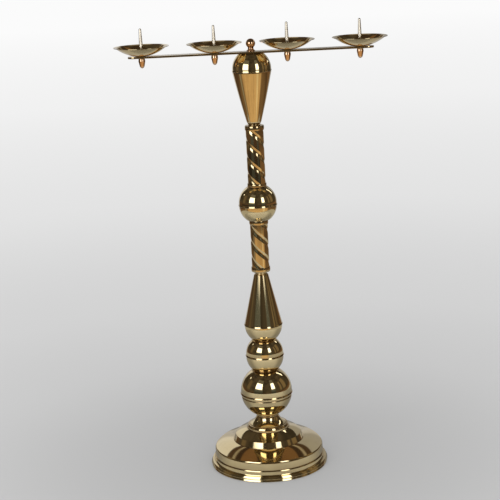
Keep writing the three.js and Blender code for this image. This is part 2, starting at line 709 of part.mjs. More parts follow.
// Heights from the acorn's tip. The round part is half an ellipse.
const acornHeight = ACORN_ROUND_HEIGHT + ACORN_STRAIGHT + ACORN_COLLAR_STEP + ACORN_COLLAR_HEIGHT;
const acornThread = acornHeight + SEAT_GAP - SHANK_BELOW_BAR - THREAD_ROOM;
const acornNut = turned([
  ...arc(1, 1, -Math.PI / 2, 0, COARSE).map(([r, z]) => [r * ACORN_RADIUS, z * ACORN_ROUND_HEIGHT]),
  [ACORN_RADIUS, ACORN_ROUND_HEIGHT + ACORN_STRAIGHT],
  [ACORN_RADIUS - ACORN_COLLAR_STEP, acornHeight - ACORN_COLLAR_HEIGHT],
  [ACORN_RADIUS - ACORN_COLLAR_STEP, acornHeight],
  [SHANK_HOLE, acornHeight],
  [SHANK_HOLE, acornThread],
  [0, acornThread],
].map(([r, z]) => [Math.abs(r) < 1e-9 ? 0 : r, z]), SMALL_FACETS);

const finialCentre = FINIAL_HEIGHT - FINIAL_BALL_RADIUS;
const finialCove = FINIAL_FOOT_HEIGHT + FINIAL_COVE_HEIGHT;
const finialNeck = -Math.acos(FINIAL_NECK_RADIUS / FINIAL_BALL_RADIUS);
const finial = turned([
  [PIVOT_HOLE, 0],
  [FINIAL_FOOT_RADIUS, 0],
  ...swell([FINIAL_FOOT_RADIUS, FINIAL_FOOT_HEIGHT], [FINIAL_NECK_RADIUS, finialCove], -FINIAL_COVE, 3),
  ...arc(finialCentre, FINIAL_BALL_RADIUS, finialNeck, Math.PI / 2, COARSE).slice(0, -1),
  [0, FINIAL_HEIGHT],
  [0, FINIAL_THREAD + THREAD_ROOM],
  [PIVOT_HOLE, FINIAL_THREAD + THREAD_ROOM],
], SMALL_FACETS);

const holderPlaces = Array.from(
  { length: HOLDER_COUNT },
  (_, i) => (i - (HOLDER_COUNT - 1) / 2) * HOLDER_PITCH,
);
const barGroup = new THREE.Group();
barGroup.position.z = level;
barGroup.add(piece('crossbar', crossbar(holderPlaces), 'brass', 0));
holderPlaces.forEach((x, i) => {
  const holder = new THREE.Group();
  holder.position.x = x;
  holder.add(piece(`pan_${i + 1}`, pan, 'brass', panFoot));
  holder.add(piece(`pricket_${i + 1}`, pricket, 'brass', pricketFoot));
  holder.add(piece(`acorn_nut_${i + 1}`, acornNut, 'redBrass', -SEAT_GAP - acornHeight));
  barGroup.add(holder);
});
barGroup.add(piece('finial', finial, 'redBrass', BAR_THICKNESS + SEAT_GAP));

// The tie rod runs from the nut under the weight to the thread in the finial.
const rodLength = level + BAR_THICKNESS + SEAT_GAP + FINIAL_THREAD - rodFoot;
const rod = new THREE.CylinderGeometry(ROD_RADIUS, ROD_RADIUS, rodLength, SMALL_FACETS)
  .rotateX(Math.PI / 2)
  .translate(0, 0, rodLength / 2);
column.add(piece('tie_rod', rod, 'steel', rodFoot));

const candlestick = new THREE.Group();
candlestick.add(column, barGroup);

export default candlestick;
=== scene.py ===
# %% [markdown]
# A floor candlestick, one metre tall, of polished brass. Its column is a stack of hollow spun rings,
# balls and cones with two twisted tubes, and all of it is drawn together by one long tie rod.
# Above the column a flat bar turns on the rod and carries four drip pans with prickets.
# The frame that was built before holds every piece at its real place and size. This script
# loads it, makes a finely shaped piece for each plain solid that shows, and lets each one ride on the
# body that carries it, so that the joints still move everything.

# %% The frame
import math
import bmesh
import bpy
from mathutils import Matrix, Vector


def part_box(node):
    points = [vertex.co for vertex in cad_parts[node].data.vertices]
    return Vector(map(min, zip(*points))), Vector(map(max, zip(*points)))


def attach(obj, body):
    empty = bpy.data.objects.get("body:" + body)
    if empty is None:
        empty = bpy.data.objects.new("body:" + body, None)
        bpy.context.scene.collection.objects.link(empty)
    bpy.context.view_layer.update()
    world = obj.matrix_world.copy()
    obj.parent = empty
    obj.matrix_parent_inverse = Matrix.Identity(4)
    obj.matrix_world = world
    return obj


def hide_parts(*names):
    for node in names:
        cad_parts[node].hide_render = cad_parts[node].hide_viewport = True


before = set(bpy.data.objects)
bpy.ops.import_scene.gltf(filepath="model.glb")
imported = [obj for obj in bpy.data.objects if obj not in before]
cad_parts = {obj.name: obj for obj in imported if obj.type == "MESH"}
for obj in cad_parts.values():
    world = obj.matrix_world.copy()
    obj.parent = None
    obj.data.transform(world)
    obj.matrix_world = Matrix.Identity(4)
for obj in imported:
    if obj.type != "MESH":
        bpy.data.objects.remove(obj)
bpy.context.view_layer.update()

MM = 0.001

# %% [markdown]
# The camera comes first, because everything else is judged through it. A long lens looks down on the
# candlestick by 13 degrees from about three metres, and the camera was held a little askew, so that
# the column leans.

# %% Camera
CAMERA_PLACE = Vector((-0.0222, -3.086, 1.238))
CAMERA_PITCH = math.radians(13.45)
CAMERA_ROLL = math.radians(2.745)
CAMERA_LENS = 102.8

level = Vector((1, 0, 0))
upward = Vector((0, math.sin(CAMERA_PITCH), math.cos(CAMERA_PITCH)))
backward = Vector((0, -math.cos(CAMERA_PITCH), math.sin(CAMERA_PITCH)))
right = level * math.cos(CAMERA_ROLL) - upward * math.sin(CAMERA_ROLL)
top = level * math.sin(CAMERA_ROLL) + upward * math.cos(CAMERA_ROLL)
camera = bpy.data.objects.new("camera", bpy.data.cameras.new("camera"))
turn = Matrix((right, top, backward)).transposed().to_4x4()
camera.matrix_world = Matrix.Translation(CAMERA_PLACE) @ turn
camera.data.lens = CAMERA_LENS
camera.data.sensor_width = 36
camera.data.clip_end = 200
bpy.context.collection.objects.link(camera)
bpy.context.scene.camera = camera
bpy.context.scene.view_settings.view_transform = "Standard"
print("camera distance, m:", round((CAMERA_PLACE - Vector((0, 0, 0.5))).length, 3))

# %% [markdown]
# Finishes, the studio and the twisted tubes are written as nodes, and a node tree is easier to read as
# a sum. A Wire stands for a socket that gives a value, and arithmetic on wires adds the Math nodes.
# A Tree adds any other node in one call: its type, then its settings, then what goes into its sockets.

# %% Wires and trees
class Wire:
    """A value in a node tree. Arithmetic on it adds Math nodes."""

    def __init__(self, tree, socket):
        self.tree = tree
        self.socket = socket

    def math(self, operation, *others):
        return self.tree.math(operation, self, *others)

    def __add__(self, other): return self.math("ADD", other)
    def __sub__(self, other): return self.math("SUBTRACT", other)
    def __mul__(self, other): return self.math("MULTIPLY", other)
    def __truediv__(self, other): return self.math("DIVIDE", other)
    def __radd__(self, other): return self.math("ADD", other)
    def __rmul__(self, other): return self.math("MULTIPLY", other)
    def __rsub__(self, other): return self.tree.math("SUBTRACT", other, self)

    def rising(self, low, high):
        """0 below low and 1 above high, with a smooth rise between them."""
        return self.tree.add(
            "ShaderNodeMapRange",
            {"interpolation_type": "SMOOTHSTEP"},
            {"Value": self, "From Min": low, "From Max": high},
        )

    def band(self, low, high, soft):
        """1 between low and high and 0 outside, with ends this soft."""
        return self.rising(low - soft, low + soft) - self.rising(high - soft, high + soft)

    def out(self, name):
        return Wire(self.tree, self.socket.node.outputs[name])


class Tree:
    """A node tree with one method that adds any node."""

    def __init__(self, nodes_of):
        self.tree = nodes_of
        self.tree.nodes.clear()

    def plug(self, socket, value):
        if isinstance(value, Wire):
            self.tree.links.new(value.socket, socket)
        elif socket.type == "RGBA":
            socket.default_value = (*value, 1)
        else:
            socket.default_value = value

    def add(self, kind, settings=None, inputs=None):
        node = self.tree.nodes.new(kind)
        for name, setting in (settings or {}).items():
            if name == "stops":
                ramp = node.color_ramp.elements
                while len(ramp) < len(setting):
                    ramp.new(1)
                for stop, (place, colour) in zip(ramp, setting):
                    stop.position = place
                    stop.color = (*colour, 1)
            else:
                setattr(node, name, setting)
        for name, value in (inputs or {}).items():
            self.plug(node.inputs[name], value)
        return Wire(self, node.outputs[0]) if node.outputs else None

    def math(self, operation, *values):
        return self.add("ShaderNodeMath", {"operation": operation}, dict(enumerate(values)))

    def mix(self, share, first, second):
        """A colour between two colours."""
        return self.add("ShaderNodeMix", {"data_type": "RGBA"}, {0: share, 6: first, 7: second}).out(2)

    def noise(self, scale, detail=2, **inputs):
        """Noise around 0.5. A vector makes it solid, and W makes it vary along one value."""
        dimensions = "1D" if "W" in inputs else "3D"
        inputs.update({"Scale": scale, "Detail": detail})
        return self.add("ShaderNodeTexNoise", {"noise_dimensions": dimensions}, inputs)

# %% [markdown]
# The studio. Polished brass shows its surroundings more than itself, so the surroundings are what
# gives it the look of the picture: pale paper on the floor close by, brown boards beyond it, a dark room
# with a few paler shelves, a pale backdrop, two tall soft boxes in front and two small lights further
# round. They could be one painted world, but on a candlestick a metre tall each ball sees the floor at
# another slant, so they are real surfaces here. Only reflections see them. The camera sees a plain pale
# floor, with the shadow on it.

# %% Surroundings
PAPER_EDGE = 0.8
ROOM_RADIUS = 4.4
ROOM_HEIGHT = 6.0
SOFT_BOX_DISTANCE = 2.0
SMALL_LIGHT_DISTANCE = 2.4
FLOOR_RADIUS = 60


def only_reflected(thing):
    thing.visible_camera = False
    thing.visible_diffuse = False
    thing.visible_shadow = False
    thing.visible_volume_scatter = False


def staged(name, corners, faces, material):
    mesh = bpy.data.meshes.new(name)
    mesh.from_pydata(corners, [], faces)
    mesh.materials.append(material)
    thing = bpy.data.objects.new(name, mesh)
    bpy.context.collection.objects.link(thing)
    return thing


def around(radius, azimuth, height):
    """A point around the candlestick. Azimuth 0 is towards the camera, and goes up to the right of it."""
    turn = math.radians(azimuth)
    return (radius * math.sin(turn), -radius * math.cos(turn), height)


def wall(name, radius, azimuths, heights, material, steps=24):
    """A curved upright card around the candlestick."""
    turns = [azimuths[0] + (azimuths[1] - azimuths[0]) * i / steps for i in range(steps + 1)]
    corners = [around(radius, turn, height) for height in heights for turn in turns]
    faces = [(i, i + 1, i + steps + 2, i + steps + 1) for i in range(steps)]
    card = staged(name, corners, faces, material)
    only_reflected(card)
    return card


def disc(name, inner, outer, height, material, steps=96):
    rings = [around(radius, 360 * i / steps, height) for radius in (inner, outer) for i in range(steps)]
    faces = [(i, (i + 1) % steps, (i + 1) % steps + steps, i + steps) for i in range(steps)]
    return staged(name, rings, faces, material)


def glowing(name, colour_of):
    """A material that gives off the colour that colour_of makes from the tree and the place."""
    material = bpy.data.materials.new(name)
    material.use_nodes = True
    tree = Tree(material.node_tree)
    place = tree.add("ShaderNodeTexCoord").out("Object")
    glow = tree.add("ShaderNodeEmission", None, {"Color": colour_of(tree, place), "Strength": 1.0})
    tree.add("ShaderNodeOutputMaterial", None, {"Surface": glow})
    return material


def even(brightness):
    """A colour for glowing() that is the same all over."""
    return lambda tree, place: (brightness, brightness, brightness)


def height_in(tree, place):
    return tree.add("ShaderNodeSeparateXYZ", None, {0: place}).out("Z")


def distance_in(tree, place):
    flat = tree.add("ShaderNodeVectorMath", {"operation": "MULTIPLY"}, {0: place, 1: (1, 1, 0)})
    return tree.add("ShaderNodeVectorMath", {"operation": "LENGTH"}, {0: flat}).out("Value")


def azimuth_in(tree, place):
    """Degrees around the candlestick, as in around()."""
    parts = tree.add("ShaderNodeSeparateXYZ", None, {0: place})
    return tree.math("ARCTAN2", parts.out("X"), parts.out("Y") * -1) * (180 / math.pi)


def board_colour(tree, place):
    distance, azimuth = distance_in(tree, place), azimuth_in(tree, place)
    aside = azimuth.math("ABSOLUTE")
    shade = tree.add("ShaderNodeValToRGB", {"stops": [
        (0.18, (0.72, 0.50, 0.27)),
        (0.53, (0.60, 0.40, 0.21)),
        (1.0, (0.30, 0.19, 0.10)),
    ]}, {0: distance / ROOM_RADIUS})
    grain = tree.noise(3, 3, Vector=place).rising(0.35, 0.75)
    shade = tree.mix(azimuth.band(29, 41, 3) * 0.6, shade, (0.98, 0.84, 0.58))
    dark_sides = tree.mix(distance.rising(1.8, 2.3), (0.19, 0.12, 0.065), (0.09, 0.055, 0.032))
    shade = tree.mix(1 - azimuth.band(-66, 60, 8), shade, dark_sides)
    shade = tree.mix(azimuth.band(-86, -74, 2) * 0.8, shade, (0.32, 0.30, 0.24))
    shade = tree.mix(grain * 0.3, shade, (0.08, 0.045, 0.025))
    shade = tree.mix(aside.rising(140, 150), shade, (0.50, 0.50, 0.52))
    reach = (azimuth / 110).math("POWER", 2) + PAPER_EDGE
    paper_there = (1 - (distance - reach).rising(0, 0.05)) * (1 - distance.rising(1.4, 1.5))
    shade = tree.mix(paper_there, shade, (0.42, 0.415, 0.40))
    shade = tree.mix(azimuth.rising(52, 66) * distance.rising(2.3, 2.6), shade, (0.17, 0.10, 0.055))
    far = distance.rising(2.25, 2.6) * azimuth.band(-110, 56, 6)
    return tree.mix(far, shade, (0.025, 0.022, 0.02))


def room_colour(tree, place):
    height = height_in(tree, place)
    murk = tree.noise(0.5, 1, Vector=place).rising(0.3, 0.7)
    walls = tree.mix(murk, (0.040, 0.033, 0.024), (0.082, 0.066, 0.048))
    azimuth = azimuth_in(tree, place)
    shelves = azimuth.band(66, 76, 2) + azimuth.band(84, 104, 3) + azimuth.band(-102, -84, 4) * 0.6
    walls = tree.mix(shelves * height.band(0.5, 3.4, 0.3), walls, (0.20, 0.15, 0.09))
    behind = azimuth.math("ABSOLUTE").rising(146, 154)
    walls = tree.mix(behind, walls, (0.045, 0.030, 0.020))
    beam = behind * height.rising(5.5, 5.7) * distance_in(tree, place).rising(3.1, 3.5)
    walls = tree.mix(beam, walls, (0.17, 0.095, 0.045))
    return tree.mix(height.rising(0.0, 0.5), (0.10, 0.06, 0.035), walls)


def soft_box_colour(tree, place):
    height = height_in(tree, place)
    azimuth = azimuth_in(tree, place)
    across = azimuth.band(-54, -21, 1.5) + azimuth.band(24, 41, 1.5)
    dim = tree.mix(height.rising(0.1, 0.8), (0.035, 0.037, 0.036), (0.115, 0.125, 0.12))
    dim = tree.mix(height.rising(2.1, 2.3), dim, (0.16, 0.15, 0.13))
    hot = height.rising(0.72, 0.93) - height.rising(1.94, 2.10)
    return tree.mix(hot * across, dim, (2.8, 2.8, 2.9))


def backdrop_colour(tree, place):
    parts = tree.add("ShaderNodeSeparateXYZ", None, {0: place})
    pale = tree.mix(parts.out("X").rising(-0.6, 0.4), (0.72, 0.73, 0.77), (0.34, 0.34, 0.35))
    straight = azimuth_in(tree, place).math("ABSOLUTE").rising(140, 150)
    low = tree.mix(straight, (0.10, 0.065, 0.04), (0.50, 0.50, 0.52))
    height = parts.out("Z")
    shade = tree.mix(height.rising(0.3, 0.55), low, pale)
    shade = tree.mix(height.rising(1.66, 1.74), shade, (0.07, 0.045, 0.028))
    return tree.mix(height.band(2.05, 2.22, 0.04), shade, (0.33, 0.29, 0.23))


boards = disc("boards", PAPER_EDGE, ROOM_RADIUS, 0.001, glowing("boards", board_colour))
only_reflected(boards)
room = glowing("room", room_colour)
wall("room", ROOM_RADIUS, (-180, 180), (0.0, ROOM_HEIGHT), room, 60)
ceiling = disc("ceiling", 0.0001, ROOM_RADIUS, ROOM_HEIGHT, glowing("ceiling", room_colour))
only_reflected(ceiling)
wall("backdrop", 2.0, (144, 216), (0.0, 2.3), glowing("backdrop", backdrop_colour))
soft_box = glowing("soft_box", soft_box_colour)
wall("soft_box_left", SOFT_BOX_DISTANCE, (-57, -18), (0.1, 3.4), soft_box)
wall("soft_box_right", SOFT_BOX_DISTANCE, (22, 43), (0.1, 3.4), soft_box)
wall("small_light", SMALL_LIGHT_DISTANCE, (-118, -112), (1.62, 1.88), glowing("small_light", even(1.6)), 4)
wall("strip_light", SMALL_LIGHT_DISTANCE, (124, 130), (1.4, 3.0), glowing("strip_light", even(2.5)))

# %% [markdown]
# What the camera sees of the floor gets paler with distance, a painted light as on paper that curves up
# behind. Close by it takes half of its light from the lamps, so that it keeps the shadow, and gives off the
# other half. Further away it only glows. Reflections see the part behind the candlestick darker: painted
# shade.

# %% Floor, world and lamps
PALE = (0.98, 0.98, 0.985)
SHADES_REACH = 17  # metres, where the last shade of the paper ends

paper = bpy.data.materials.new("paper")
paper.use_nodes = True
tree = Tree(paper.node_tree)
place = tree.add("ShaderNodeTexCoord").out("Object")
distance = distance_in(tree, place)
# Painted light: the floor gets paler with distance, as lit paper that curves up behind does.
shade = tree.add("ShaderNodeValToRGB", {"stops": [
    (0.0, (0.43, 0.43, 0.43)),
    (0.025, (0.50, 0.50, 0.50)),
    (0.045, (0.585, 0.585, 0.585)),
    (0.08, (0.665, 0.665, 0.665)),
    (0.18, (0.765, 0.765, 0.765)),
    (0.38, (0.875, 0.875, 0.875)),
    (0.79, (0.965, 0.965, 0.965)),
]}, {0: distance / SHADES_REACH})
seen = tree.add("ShaderNodeLightPath").out("Is Camera Ray")
# Painted shade: reflections see the floor behind the candlestick darker.
behind = 1 - azimuth_in(tree, place).band(-80, 80, 25)
painted_shade_behind = tree.mix(behind * (1 - seen) * 0.48, shade, (0.0, 0.0, 0.0))
lit = tree.add("ShaderNodeBsdfDiffuse", None, {"Color": painted_shade_behind})
plain = tree.add("ShaderNodeEmission", None, {"Color": shade, "Strength": 1.0})
far_off = distance.rising(0.6, 3.0) * 0.5 + 0.5
surface = tree.add("ShaderNodeMixShader", None, {0: seen * far_off, 1: lit, 2: plain})
tree.add("ShaderNodeOutputMaterial", None, {"Surface": surface})
disc("floor", 0.0001, FLOOR_RADIUS, 0.0, paper)

world = bpy.data.worlds.new("studio")
world.use_nodes = True
bpy.context.scene.world = world
tree = Tree(world.node_tree)
path = tree.add("ShaderNodeLightPath")
background = path.out("Is Camera Ray").math("MAXIMUM", path.out("Is Glossy Ray"))
background = background.math("MAXIMUM", path.out("Is Transmission Ray"))
colour = tree.mix(background, (0.62, 0.62, 0.62), PALE)
sky = tree.add("ShaderNodeBackground", None, {"Color": colour, "Strength": 1.0})
tree.add("ShaderNodeOutputWorld", None, {"Surface": sky})


def lamp(name, place, size, watts):
    data = bpy.data.lights.new(name, "AREA")
    data.shape = "RECTANGLE"
    data.size, data.size_y = size
    data.energy = watts
    thing = bpy.data.objects.new(name, data)
    thing.matrix_world = Matrix.Translation(place) @ (
        (Vector((0, 0, 0.4)) - Vector(place)).to_track_quat("-Z", "Y").to_matrix().to_4x4()
    )
    thing.visible_camera = False
    thing.visible_glossy = False
    bpy.context.collection.objects.link(thing)


lamp("lamp_left", around(2.3, -40, 2.2), (1.6, 1.8), 22)
lamp("lamp_right", around(2.3, 33, 2.2), (0.9, 1.8), 12)
lamp("lamp_above", (0, 0.4, 3.4), (2.4, 2.4), 30)

# %% [markdown]
# Polished brass. A mirror finish is never quite one colour: the sheet is spun on a lathe and polished
# with a wheel, which leaves fine lines around the axis, and years of hands and air leave faint
# clouds, a few rubbed scratches and a browner tone in the corners where no cloth reaches.
# The lines follow the outline of a turned piece, so they read its UV map, whose V is the length along
# the outline in metres. On tubes, spikes and bars the lines run lengthwise, which is noise that is
# stretched along one axis. Corners are marked with an attribute when the piece is made.

# %% Brass
def finish(name, build):
    """A material for metal or felt. build fills in the sockets of its shader."""
    material = bpy.data.materials.new(name)
    material.use_nodes = True
    tree = Tree(material.node_tree)
    coordinates = tree.add("ShaderNodeTexCoord")
    tree.add("ShaderNodeOutputMaterial", None, {
        "Surface": tree.add("ShaderNodeBsdfPrincipled", None, build(tree, coordinates)),
    })
    return material


def metal(name, clean, aged, gloss, grain, ageing=1.0):
    """Polished metal. The grain says how its fine lines run: turned, upright, or drawn along the bar."""
    def build(tree, coordinates):
        place = coordinates.out("Object")
        clouds = tree.noise(22, 4, Vector=place).rising(0.42, 0.78)
        specks = tree.noise(420, 2, Vector=place).rising(0.66, 0.80)
        corner = tree.add("ShaderNodeAttribute", {"attribute_name": "crease"}).out("Fac")
        if grain == "turned":
            along = tree.add("ShaderNodeSeparateXYZ", None, {0: coordinates.out("UV")}).out("Y")
            lines = tree.noise(2600, 3, W=along)
            broad = tree.noise(90, 1, W=along)
        else:
            stretch = (1, 1, 0.01) if grain == "upright" else (0.01, 1, 1)
            stretched = tree.add("ShaderNodeVectorMath", {"operation": "MULTIPLY"}, {0: place, 1: stretch})
            lines = tree.noise(1500, 3, Vector=stretched)
            broad = tree.noise(60, 1, Vector=stretched)
        rubbed = tree.add("ShaderNodeVectorMath", {"operation": "MULTIPLY"}, {0: place, 1: (1, 0.35, 0.08)})
        scratches = tree.noise(700, 1, Vector=rubbed).rising(0.70, 0.78)
        age = (clouds * 0.14 + specks * 0.12 + corner * 0.75 + broad * 0.08) * ageing
        colour = tree.mix(age.math("MINIMUM", 1.0), clean, aged)
        rough = gloss + clouds * 0.02 + corner * 0.16 + scratches * 0.06 + lines * 0.03
        relief = lines * 0.5 + scratches * -0.35 + clouds * 0.08
        bump = tree.add("ShaderNodeBump", None, {"Strength": 0.10, "Distance": 0.00003, "Height": relief})
        return {"Base Color": colour, "Roughness": rough, "Metallic": 1.0, "Normal": bump}
    return finish(name, build)


brass = metal("polished_brass", (0.86, 0.70, 0.39), (0.30, 0.17, 0.07), 0.035, "turned")
bar_brass = metal("drawn_brass", (0.80, 0.64, 0.36), (0.26, 0.15, 0.065), 0.09, "drawn", 1.2)
pale_brass = metal("pale_brass", (0.88, 0.81, 0.66), (0.42, 0.28, 0.16), 0.12, "upright", 0.4)
tube_brass = metal("twisted_brass", (0.86, 0.70, 0.39), (0.30, 0.17, 0.07), 0.04, "upright", 0.8)
red_brass = metal("red_brass", (0.84, 0.56, 0.33), (0.28, 0.13, 0.06), 0.05, "turned")
steel = metal("zinc_plated_steel", (0.62, 0.63, 0.64), (0.22, 0.18, 0.14), 0.24, "drawn", 1.4)


def cast_iron(tree, coordinates):
    place = coordinates.out("Object")
    grit = tree.noise(260, 5, Vector=place)
    rust = tree.noise(30, 4, Vector=place).rising(0.52, 0.70)
    colour = tree.mix(rust, (0.035, 0.034, 0.035), (0.16, 0.065, 0.03))
    bump = tree.add("ShaderNodeBump", None, {"Strength": 0.6, "Distance": 0.0006, "Height": grit})
    return {"Base Color": colour, "Roughness": 0.62 + rust * 0.25, "Metallic": 0.55, "Normal": bump}


def green_felt(tree, coordinates):
    place = coordinates.out("Object")
    fibres = tree.noise(1400, 3, Vector=place)
    worn = tree.noise(18, 3, Vector=place).rising(0.45, 0.7)
    colour = tree.mix(fibres, (0.016, 0.05, 0.026), (0.045, 0.115, 0.06))
    colour = tree.mix(worn * 0.5, colour, (0.07, 0.10, 0.065))
    bump = tree.add("ShaderNodeBump", None, {"Strength": 0.8, "Distance": 0.0004, "Height": fibres})
    return {"Base Color": colour, "Roughness": 0.9 + fibres * 0.1, "Metallic": 0.0, "Normal": bump}


iron = finish("cast_iron", cast_iron)
felt = finish("green_felt", green_felt)
brasses = (brass, bar_brass, pale_brass, tube_brass, red_brass)
print("finishes:", [material.name for material in (*brasses, steel, iron, felt)])

# %% [markdown]
# Nearly every piece of the column was turned or spun on a lathe, so it is an outline that goes once
# round the axis. Blender's Spin or Screw would do that. A short function of our own is used instead,
# because it can also round each corner, lay the UV map along the outline and mark the inner corners.
# An outline is a list of (radius, height) in millimetres, and a third number rounds that corner.

# %% Outlines
ROUND_STEP = math.radians(11)


def rounded(path, closed=False):
    """The path with its corners rounded, as plain points."""
    points = []
    for i, (r, z, *radius) in enumerate(path):
        inner = closed or 0 < i < len(path) - 1
        if not radius or not inner:
            points.append((r, z))
            continue
        corner = Vector((r, z))
        into = Vector(path[i - 1][:2]) - corner
        out = Vector(path[(i + 1) % len(path)][:2]) - corner
        half = into.angle(out) / 2
        reach = min(radius[0] / math.tan(half), 0.48 * into.length, 0.48 * out.length)
        centre = corner + (into.normalized() + out.normalized()).normalized() * (reach / math.cos(half))
        spoke = corner + into.normalized() * reach - centre
        turn = math.copysign(math.pi - 2 * half, into.y * out.x - into.x * out.y)
        steps = max(2, round(abs(turn) / ROUND_STEP))
        for step in range(steps + 1):
            arm = spoke.copy()
            arm.rotate(Matrix.Rotation(turn * step / steps, 2))
            points.append(tuple(centre + arm))
    return points


def arc(centre_height, radius, start, end, centre_radius=0.0, step=4.0):
    """Points on a round part. Angles in degrees, from straight out towards up."""
    steps = max(2, round(abs(end - start) / step))
    turns = [math.radians(start + (end - start) * i / steps) for i in range(steps + 1)]
    return [(centre_radius + radius * math.cos(t), centre_height + radius * math.sin(t)) for t in turns]


def bulged(start, end, bulge, steps=12):
    """A line between two points that bulges outwards in the middle."""
    start, end = Vector(start), Vector(end)
    side = Vector((end.y - start.y, start.x - end.x)).normalized()
    shares = [i / steps for i in range(steps + 1)]
    return [tuple(start.lerp(end, s) + side * (4 * bulge * s * (1 - s))) for s in shares]


def cushion(edge, start, rise):
    """A plate that leaves its outer edge at an angle from upright, and ends level after this rise."""
    radius = rise / (1 - math.sin(math.radians(start)))
    middle = edge[0] - radius * math.cos(math.radians(start))
    return arc(edge[1] + rise - radius, radius, start, 90, middle, 3)


def inset(path, thickness):
    """The inside of a spun wall. Each stretch moves in, and the rims are cut level or upright."""
    path = [Vector(point[:2]) for point in path]
    sides = [Vector((b.y - a.y, a.x - b.x)).normalized() for a, b in zip(path, path[1:])]
    points = []
    for i, point in enumerate(path):
        before, after = sides[max(i - 1, 0)], sides[min(i, len(sides) - 1)]
        if i in (0, len(path) - 1):
            upright = abs(after.x) > abs(after.y)
            shift = Vector((thickness / after.x, 0)) if upright else Vector((0, thickness / after.y))
            points.append(tuple(point - shift))
        else:
            total = before + after
            points.append(tuple(point - total * (2 * thickness / total.length_squared)))
    return points


def shell(path, thickness, coarse=None):
    """A closed outline of a spun wall. The inside follows the coarse path where one is given."""
    return rounded(path) + inset(coarse or path, thickness)[::-1]


# %% [markdown]
# The outline is turned into rings of points. Points near a corner get company, so that the mark
# for a corner can fade out within a few millimetres instead of along the whole of a long cone.

# %% Turning on the lathe
TURNS = 128
FADE = 1.6  # how far the brown of a corner reaches, mm


def with_company(points):
    """The closed outline with extra points close to the ends of its long stretches."""
    result = []
    for i, point in enumerate(points):
        a, b = Vector(point), Vector(points[(i + 1) % len(points)])
        length = (b - a).length
        result.append(tuple(a))
        if length > 6:
            near = (0.6, 1.5, 2.9)
            result += [tuple(a.lerp(b, s / length)) for s in near]
            result += [tuple(b.lerp(a, s / length)) for s in reversed(near)]
    return result


def corner_marks(points, meets):
    """How deep in an inner corner each point lies, from 0 to 1."""
    points = [Vector(p) for p in points]
    count = len(points)
    bends = []
    for i, p in enumerate(points):
        a, b = p - points[i - 1], points[(i + 1) % count] - p
        bends.append(math.atan2(a.x * b.y - a.y * b.x, a.dot(b)))
    sources = [(p, min(1.0, -bend / 0.9)) for p, bend in zip(points, bends) if bend < -0.12]
    sources += [(Vector(meeting), 0.9) for meeting in meets]
    marks = []
    for p in points:
        mark = max((weight * math.exp(-(p - q).length / FADE) for q, weight in sources), default=0.0)
        marks.append(mark)
    return marks


def mesh_object(name, mesh, body, nodes, material=None):
    """Puts a finished mesh into the scene as a piece that rides on a body and stands for its nodes."""
    if material:
        mesh.materials.clear()
        mesh.materials.append(material)
    piece = bpy.data.objects.new(name, mesh)
    bpy.context.collection.objects.link(piece)
    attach(piece, body)
    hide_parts(*nodes)
    print(f"{name}: {len(mesh.polygons)} faces")
    return piece


def turned_mesh(name, outline, foot, material, meets=(), x=0.0, turns=TURNS):
    """The mesh of a closed outline that goes once round the axis. Millimetres in, metres out."""
    area = sum(a[0] * b[1] - b[0] * a[1] for a, b in zip(outline, outline[1:] + outline[:1]))
    points = with_company(outline if area > 0 else outline[::-1])
    marks = corner_marks(points, meets)
    lengths = [0.0]
    for a, b in zip(points, points[1:] + points[:1]):
        lengths.append(lengths[-1] + math.dist(a, b) * MM)
    mesh = bpy.data.meshes.new(name)
    made = bmesh.new()
    crease = made.verts.layers.float.new("crease")
    uv = made.loops.layers.uv.new("turning")
    rings = []
    for (r, z), mark in zip(points, marks):
        ring = []
        for k in range(turns if r > 1e-6 else 1):
            turn = 2 * math.pi * k / turns
            place = Vector((x + r * math.sin(turn), -r * math.cos(turn), foot + z))
            corner = made.verts.new(place * MM)
            corner[crease] = mark
            ring.append(corner)
        rings.append(ring * turns if len(ring) == 1 else ring)
    for i, low in enumerate(rings):
        high = rings[(i + 1) % len(rings)]
        for k in range(turns):
            after = (k + 1) % turns
            loop = [
                (low[k], k, i), (low[after], k + 1, i), (high[after], k + 1, i + 1), (high[k], k, i + 1),
            ]
            unique = [c for j, c in enumerate(loop) if c[0] is not loop[j - 1][0]]
            if len({c[0] for c in unique}) < 3:
                continue
            face = made.faces.new([c[0] for c in unique])
            for part, (_, step, ring) in zip(face.loops, unique):
                part[uv].uv = (step / turns, lengths[ring])
    bmesh.ops.recalc_face_normals(made, faces=made.faces)
    made.to_mesh(mesh)
    made.free()
    mesh.shade_smooth()
    mesh.set_sharp_from_angle(angle=math.radians(20))
    mesh.materials.append(material)
    return mesh


def shade_straight(piece, slopes, radii=(0, 1000), heights=(0, 1000)):
    """Shades the outer faces between these radii and heights as a straight stretch.

    A slope of 90 is upright. The slope goes from the first to the second as the radius grows."""
    mesh = piece.data
    normals = [corner.vector.copy() for corner in mesh.corner_normals]
    for face in mesh.polygons:
        flat = face.center.xy
        inside = radii[0] < flat.length / MM < radii[1] and heights[0] < face.center.z / MM < heights[1]
        if not inside or face.normal.z < -0.2 or face.normal.xy.dot(flat) < 0:
            continue
        for corner in face.loop_indices:
            place = mesh.vertices[mesh.loops[corner].vertex_index].co.xy
            share = (place.length / MM - radii[0]) / (radii[1] - radii[0])
            slope = math.radians(slopes[0] + (slopes[1] - slopes[0]) * share)
            level = place.normalized() * math.sin(slope)
            normals[corner] = Vector((level.x, level.y, math.cos(slope)))
    mesh.normals_split_custom_set(normals)


def foot_of(node):
    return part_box(node)[0].z / MM


def top_of(node):
    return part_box(node)[1].z / MM


def turned(node, outline, material=None, body="column", meets=(), x=0.0, turns=TURNS):
    """A turned piece that stands for the node whose name it bears."""
    mesh = turned_mesh(node, outline, foot_of(node), material or brass, meets, x, turns)
    return mesh_object(f"{node}_turned", mesh, body, [node])

